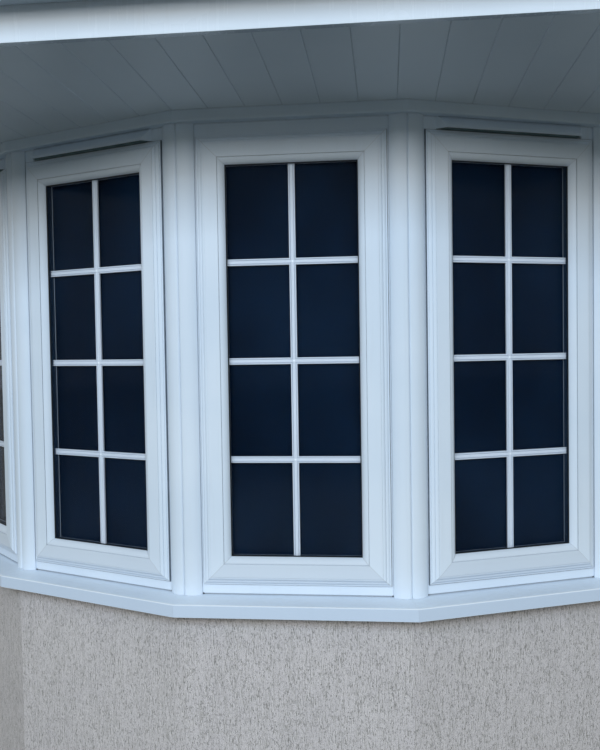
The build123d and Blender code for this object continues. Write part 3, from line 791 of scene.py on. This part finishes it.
# The flat roof: mineral felt in strips a metre wide, lapped and torched to the deck, with a drip
# turned over the front fascia.
felt_width = 1.0
felt = Finish("mineral_felt", Specular_IOR_Level=0.35)
granules = felt.noise(felt.place, 900.0, 2.0, 0.7)
weather = felt.noise(felt.place, 3.0, 5.0, 0.6)
felt_x = felt.parts(felt.place)[0]
from_lap = abs((felt_x + felt_width / 2) % felt_width - felt_width / 2)
lap = felt.step(from_lap, 0.010, 0.004)
granule_tone = felt.blend(felt.step(granules, 0.35, 0.68), shade(48, 50, 53), shade(96, 98, 102))
weathered = felt.blend(felt.step(weather, 0.45, 0.75) * 0.5, granule_tone, shade(104, 106, 98))
felt.lay(
    Base_Color=felt.blend(lap * 0.5, weathered, shade(34, 35, 37)),
    Roughness=0.88 + granules * 0.08, Normal=felt.bump(granules * 0.5 + lap * 0.9, 0.0015, 0.8),
)
dress("roof_felt", felt)

# The gutter along the front fascia: a square white plastic channel with closed ends, hung on
# straps that are screwed through its back wall and clip under its front lip.
gutter_low, gutter_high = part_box("gutter")
dress("gutter", white_plastic("white_gutter", film=0.12))
strap_count = 5
strap_inset = 0.15
strap_half = 0.011
strap_bevel = 0.0006
strap_draw = 0.985
channel_wall = 0.003
strap_back, strap_front = gutter_high.y - channel_wall, gutter_low.y + channel_wall
strap_top, strap_under = gutter_high.z - 0.004, gutter_high.z - 0.008
tail_foot, clip_foot = gutter_high.z - 0.030, gutter_high.z - 0.014
strap_outline = np.array([
    (strap_back, strap_top), (strap_back, tail_foot),
    (strap_back - 0.003, tail_foot), (strap_back - 0.003, strap_under),
    (strap_front + 0.004, strap_under), (strap_front + 0.003, clip_foot),
    (strap_front, clip_foot), (strap_front, strap_top),
])


def gutter_strap(place):
    """One strap: its outline in depth and height carried across its width, and drawn in towards its middle at the
    two faces, which bevels them."""
    middle = strap_outline.mean(axis=0)
    drawn = middle + (strap_outline - middle) * strap_draw
    whole = strap_half - strap_bevel
    rows = [(-strap_half, drawn), (-whole, strap_outline), (whole, strap_outline), (strap_half, drawn)]
    points = np.stack([np.column_stack([np.full(len(line), place + x), line]) for x, line in rows])
    return points, closed_strip(len(rows), len(strap_outline))


strap_places = np.linspace(gutter_low.x + strap_inset, gutter_high.x - strap_inset, strap_count)
piece("gutter_straps", [gutter_strap(place) for place in strap_places], white_plastic("white_straps"))

# The studio: a pale floor and surround, two broad soft lamps one above the other before the window,
# and a camera where the photo was taken from. A floor that gives back little light, and lamps that
# stand above the fascia as seen from under the canopy, keep the soffit and the heads in its shade.
floor_half = 30.0
pale = shade(196, 203, 211)
sky_colour = (1.0, 0.985, 0.84, 1.0)
sky_strength = 0.40
seen_kinds = ("Is Camera Ray", "Is Glossy Ray", "Is Transmission Ray")


def seen(nodes, kinds):
    """1 where a ray of one of these kinds meets the floor or the surround."""
    rays = [nodes.node("ShaderNodeLightPath", output=kind) for kind in kinds]
    found = rays[0]
    for ray in rays[1:]:
        found = found.most(ray)
    return found


floor_mesh = bpy.data.meshes.new("studio_floor")
floor_corners = [(x * floor_half, y * floor_half, 0.0) for x, y in ((-1, -1), (1, -1), (1, 1), (-1, 1))]
floor_mesh.from_pydata(floor_corners, [], [(0, 1, 2, 3)])
floor_finish = Finish("floor_finish", Roughness=0.9, Specular_IOR_Level=0.0)
floor_seen = seen(floor_finish, seen_kinds)
floor_cloud = floor_finish.noise(floor_finish.place, 1.5, 3.0)
floor_pale = floor_finish.blend(floor_cloud, shade(228, 230, 233), shade(234, 236, 239))
floor_finish.lay(Base_Color=floor_finish.blend(floor_seen, shade(74, 78, 74), floor_pale))
floor_mesh.materials.append(floor_finish.material)
floor = bpy.data.objects.new("studio_floor", floor_mesh)
bpy.context.scene.collection.objects.link(floor)

world = bpy.data.worlds.new("studio_surround")
bpy.context.scene.world = world
surround = Nodes(world)
lit = surround.node("ShaderNodeBackground", Color=sky_colour, Strength=sky_strength)
shown = surround.node("ShaderNodeBackground", Color=pale, Strength=1.0)
sky_seen = seen(surround, seen_kinds)
either = surround.node("ShaderNodeMixShader", inputs=(sky_seen, lit, shown))
surround.node("ShaderNodeOutputWorld", output=None, Surface=either)

lamp_across, lamp_before = -0.2, -6.8
lamp_width = 9.0
lamp_turn = math.radians(-1.7)
# each row: name, how tall the lamp is, its watts, its colour, the height of its middle, its lean in degrees
lamps = (
    ("low_lamp", 1.15, 209.0, (1.00, 0.99, 0.96), 3.42, 77.5),
    ("high_lamp", 1.80, 350.0, (0.70, 0.85, 1.00), 4.85, 66.5),
)
for name, tall, power, colour, height, lean in lamps:
    lamp_data = bpy.data.lights.new(name, "AREA")
    lamp_data.shape, lamp_data.size, lamp_data.size_y = "RECTANGLE", lamp_width, tall
    lamp_data.energy, lamp_data.color = power, colour
    lamp = bpy.data.objects.new(name, lamp_data)
    lamp.location = (lamp_across, lamp_before, height)
    lamp.rotation_euler = (math.radians(lean), 0.0, lamp_turn)
    lamp.visible_glossy = False
    lamp.visible_transmission = False
    bpy.context.scene.collection.objects.link(lamp)

# the camera, from a fit to the photo's straight edges: its turn, tip and roll, and its place before the bay
camera_yaw, camera_pitch, camera_roll = 0.1058468, 0.0342450, -0.0155596
camera_across, camera_before, camera_height = 0.250247, 2.196812, 1.5024
camera_focal_pixels = 819.3475
photo_long_side = 750
ahead = np.array([-math.sin(camera_yaw), math.cos(camera_yaw), 0.0])
right = np.array([math.cos(camera_yaw), math.sin(camera_yaw), 0.0])
up = np.array([0.0, 0.0, 1.0])
tilted_ahead = ahead * math.cos(camera_pitch) - up * math.sin(camera_pitch)
tilted_up = up * math.cos(camera_pitch) + ahead * math.sin(camera_pitch)
rolled_right = right * math.cos(camera_roll) + tilted_up * math.sin(camera_roll)
rolled_up = tilted_up * math.cos(camera_roll) - right * math.sin(camera_roll)
camera_data = bpy.data.cameras.new("photo_camera")
camera_data.sensor_width = 36.0
camera_data.lens = camera_focal_pixels / photo_long_side * camera_data.sensor_width
camera = bpy.data.objects.new("photo_camera", camera_data)
stance = np.eye(4)
stance[:3, :3] = np.column_stack([rolled_right, rolled_up, -tilted_ahead])
stance[:3, 3] = (camera_across, face_y - camera_before, camera_height)
camera.matrix_world = Matrix(stance.tolist())
bpy.context.scene.collection.objects.link(camera)
bpy.context.scene.camera = camera
bpy.context.scene.view_settings.view_transform = "Standard"
